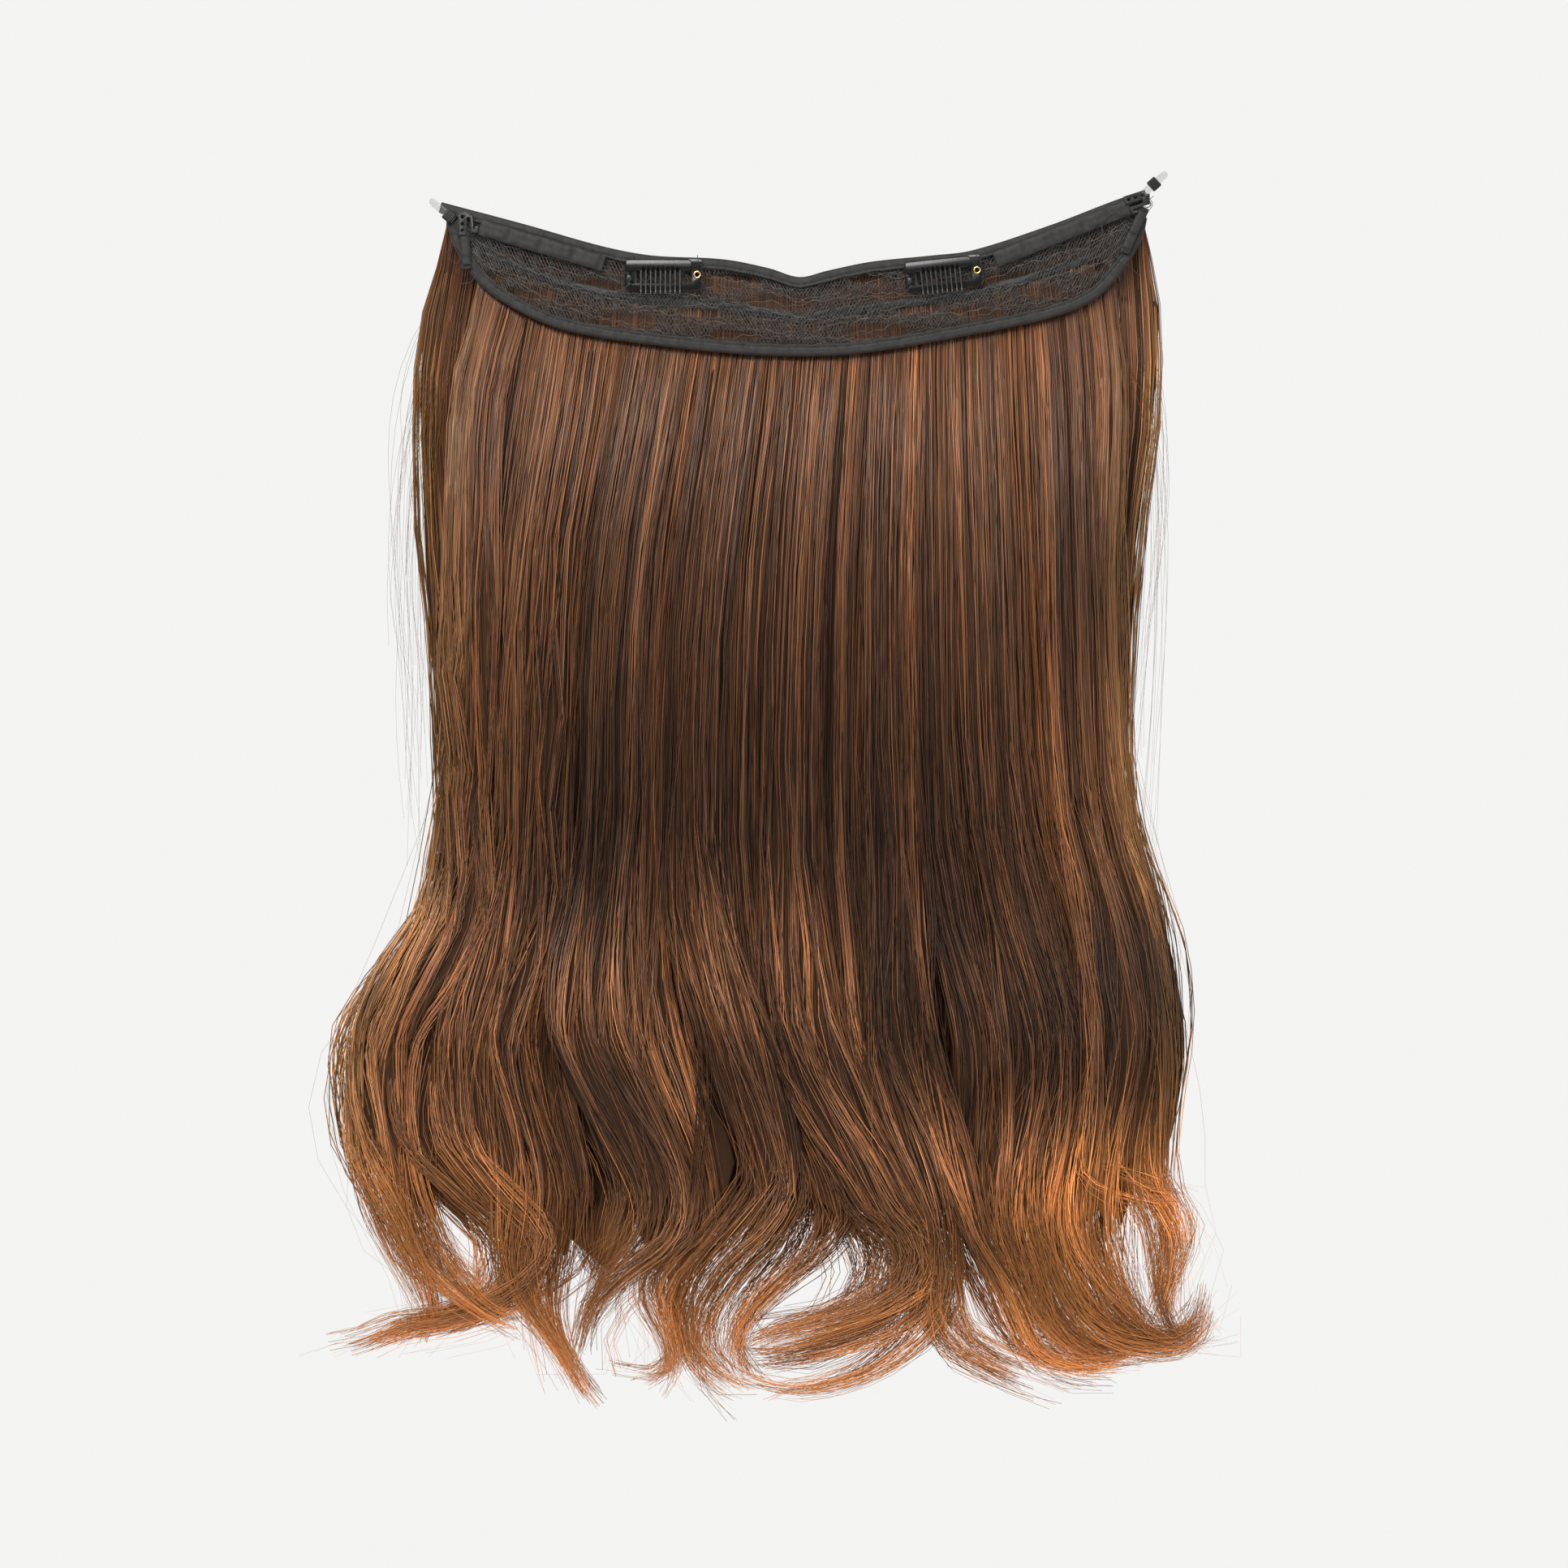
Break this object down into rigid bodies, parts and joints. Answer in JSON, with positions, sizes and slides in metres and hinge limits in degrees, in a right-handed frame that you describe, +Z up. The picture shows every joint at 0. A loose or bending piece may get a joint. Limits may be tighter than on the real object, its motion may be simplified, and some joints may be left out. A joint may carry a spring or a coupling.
{
  "type": "hair extension",
  "caption": "Long wavy clip-in hair extension: rows of brown hair sewn to a ribbon-bound lace crescent with snap clips, hooks and clear ends.",
  "frame": {"origin": "middle of the lace band, on its scalp side, where the band lies against the head", "axes": "+Z up along the hanging hair, -Y out of the scalp side of the band, +X to the right seen from that side"},
  "size_m": [0.3476, 0.0383, 0.4862],
  "materials": {
    "lace": "fine black net lace",
    "ribbon": "black woven ribbon with stitched seams",
    "paint": "glossy black paint on stamped steel",
    "brass": "bright brass eyelet",
    "clear": "clear flat plastic",
    "hair": "chestnut brown fibre with copper ends, satin sheen"
  },
  "bodies": {
    "band": {"lace_band": "lace", "top_binding": "ribbon", "bottom_binding": "ribbon", "left_pocket_tape": "ribbon", "right_pocket_tape": "ribbon", "left_end_tape": "ribbon", "right_end_tape": "ribbon", "left_hook": "paint", "right_hook": "paint", "left_crimp": "paint", "right_crimp": "paint", "left_clear_loop": "clear", "right_clear_loop": "clear", "left_clip_frame": "paint", "right_clip_frame": "paint", "left_clip_rivet": "brass", "right_clip_rivet": "brass", "lower_weft": "hair", "middle_weft": "hair", "upper_weft": "hair"},
    "left_comb": {"left_clip_comb": "paint"},
    "right_comb": {"right_clip_comb": "paint"}
  },
  "joints": [
    {"name": "left_comb_swing", "type": "hinge", "parent": "band", "child": "left_comb", "pos_m": [-0.0534, -0.0025, 0.0218], "axis": [-1, 0, 0], "range_deg": [0, 40]},
    {"name": "right_comb_swing", "type": "hinge", "parent": "band", "child": "right_comb", "pos_m": [0.0563, -0.0025, 0.0222], "axis": [-0.9945, 0, -0.1045], "range_deg": [0, 40]}
  ]
}
